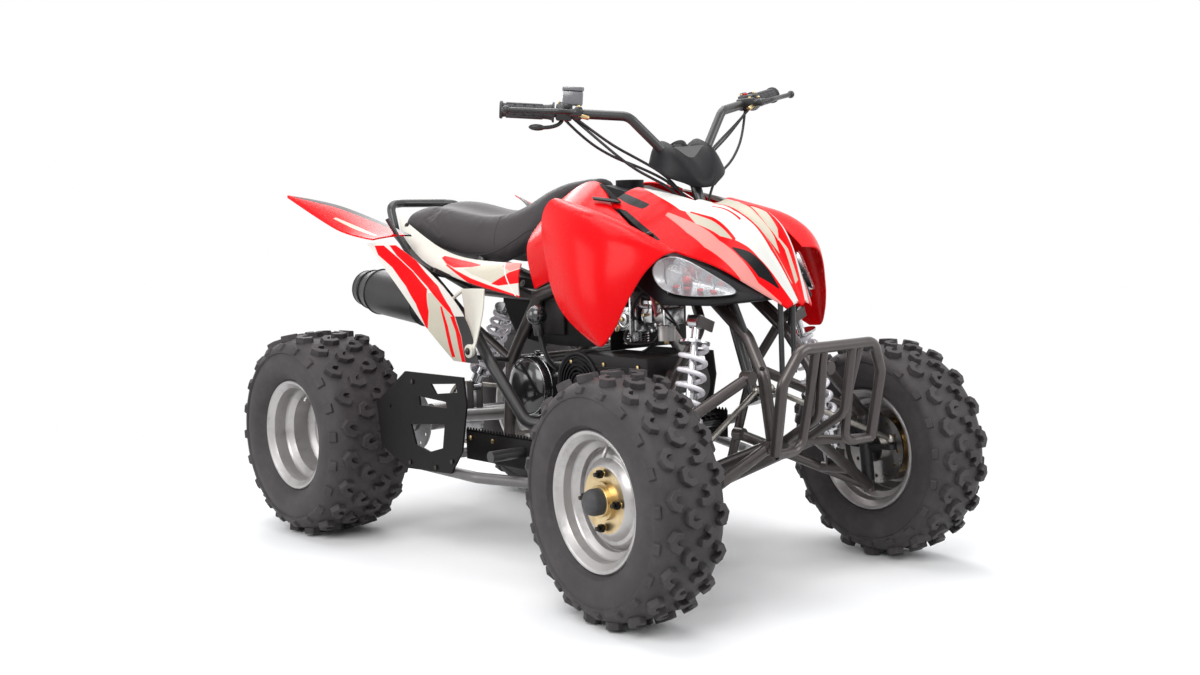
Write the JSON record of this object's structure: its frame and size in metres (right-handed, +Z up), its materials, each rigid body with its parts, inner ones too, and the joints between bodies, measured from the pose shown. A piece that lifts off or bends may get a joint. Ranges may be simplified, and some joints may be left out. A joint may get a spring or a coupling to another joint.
{
  "type": "sport quad bike",
  "caption": "Sport quad bike with tube frame, A-arm front end, swinging rear arm, knobbly tyres, saddle, bodywork and handlebar steering.",
  "frame": {"origin": "on the ground under the middle of the machine, at the centre of its outline seen from above", "axes": "+X forward, +Y to the rider's left, +Z up"},
  "size_m": [1.7769, 1.0728, 1.148],
  "materials": {
    "axle_steel": "bright steel",
    "black_exhaust": "heat-proof satin black",
    "black_plastic": "satin black moulding",
    "black_plate": "matte black paint",
    "black_tube": "satin black paint",
    "bright_alloy": "machined alloy",
    "cast_case": "cast aluminium, sand finish",
    "cast_knuckle": "black coated casting",
    "chain_steel": "oiled steel",
    "clear_lens": "clear moulded lens",
    "control_alloy": "black coated alloy",
    "damper_steel": "polished rod and plated body",
    "grey_frame": "satin gunmetal paint",
    "grip_rubber": "ribbed soft rubber",
    "hub_steel": "gold zinc plating",
    "red_panel": "glossy red moulding",
    "rod_steel": "zinc plated steel",
    "seat_vinyl": "grained black vinyl",
    "silver_rim": "silver paint",
    "silver_tube": "silver grey paint",
    "tyre_rubber": "knobbly black rubber",
    "white_panel": "glossy white moulding with red stripes",
    "white_spring": "gloss white coating"
  },
  "bodies": {
    "chassis": {"frame": "grey_frame", "upper_arms": "grey_frame", "lower_arms": "grey_frame", "dampers": "damper_steel", "springs": "white_spring", "front_bumper": "grey_frame", "swingarm": "grey_frame", "chain": "chain_steel", "engine_case": "cast_case", "engine_cylinder": "cast_case", "fan_cover": "black_plastic", "exhaust_pipe": "black_exhaust", "muffler": "black_exhaust", "carburettor": "bright_alloy", "hood": "red_panel", "front_fenders": "red_panel", "shrouds": "red_panel", "tail_wings": "red_panel", "rear_flanks": "white_panel", "side_panels": "white_panel", "seat": "seat_vinyl", "tank": "black_plastic", "headlamp_shells": "black_plastic", "headlamp_lenses": "clear_lens", "grab_bar": "black_tube", "heel_guards": "black_plate", "side_bars": "silver_tube", "foot_pegs": "black_tube", "panel_stays": "black_tube"},
    "steering": {"handlebar": "black_tube", "steering_stem": "black_tube", "grips": "grip_rubber", "controls": "control_alloy", "instrument_pod": "black_plastic"},
    "knuckle_left": {"knuckle_left": "cast_knuckle"},
    "knuckle_right": {"knuckle_right": "cast_knuckle"},
    "tie_rod_left": {"tie_rod_left": "rod_steel"},
    "tie_rod_right": {"tie_rod_right": "rod_steel"},
    "front_wheel_left": {"front_tyre_left": "tyre_rubber", "front_rim_left": "silver_rim", "front_hub_left": "hub_steel"},
    "front_wheel_right": {"front_tyre_right": "tyre_rubber", "front_rim_right": "silver_rim", "front_hub_right": "hub_steel"},
    "rear_wheels": {"rear_axle": "axle_steel", "rear_rims": "silver_rim", "rear_tyres": "tyre_rubber"}
  },
  "joints": [
    {"name": "steer", "type": "hinge", "parent": "chassis", "child": "steering", "pos_m": [0.59642, 0, 0.413], "axis": [-0.3401, 0, 0.9404], "range_deg": [-28, 52]},
    {"name": "turn_left", "type": "hinge", "parent": "chassis", "child": "knuckle_left", "pos_m": [0.623, 0.362, 0.26], "axis": [-0.1045, 0, 0.9945], "range_deg": [-14, 26]},
    {"name": "rod_left", "type": "hinge", "parent": "knuckle_left", "child": "tie_rod_left", "pos_m": [0.70255, 0.35331, 0.29395], "axis": [-0.1045, 0, 0.9945], "range_deg": [-26, 14]},
    {"name": "roll_front_left", "type": "hinge", "parent": "knuckle_left", "child": "front_wheel_left", "pos_m": [0.62986, 0.42764, 0.26072], "axis": [0.104, 0.9945, 0.0109], "continuous": true},
    {"name": "turn_right", "type": "hinge", "parent": "chassis", "child": "knuckle_right", "pos_m": [0.623, -0.362, 0.26], "axis": [-0.1045, 0, 0.9945], "range_deg": [-14, 26]},
    {"name": "rod_right", "type": "hinge", "parent": "knuckle_right", "child": "tie_rod_right", "pos_m": [0.70255, -0.37069, 0.29395], "axis": [-0.1045, 0, 0.9945], "range_deg": [-26, 14]},
    {"name": "roll_front_right", "type": "hinge", "parent": "knuckle_right", "child": "front_wheel_right", "pos_m": [0.61614, -0.42764, 0.25928], "axis": [0.104, 0.9945, 0.0109], "continuous": true},
    {"name": "roll_rear", "type": "hinge", "parent": "chassis", "child": "rear_wheels", "pos_m": [-0.612, 0, 0.271], "axis": [0, 1, 0], "continuous": true}
  ],
  "couplings": [
    {"joint": "turn_left", "follows": "steer", "ratio": 0.5},
    {"joint": "rod_left", "follows": "steer", "ratio": -0.5},
    {"joint": "turn_right", "follows": "steer", "ratio": 0.5},
    {"joint": "rod_right", "follows": "steer", "ratio": -0.5}
  ]
}
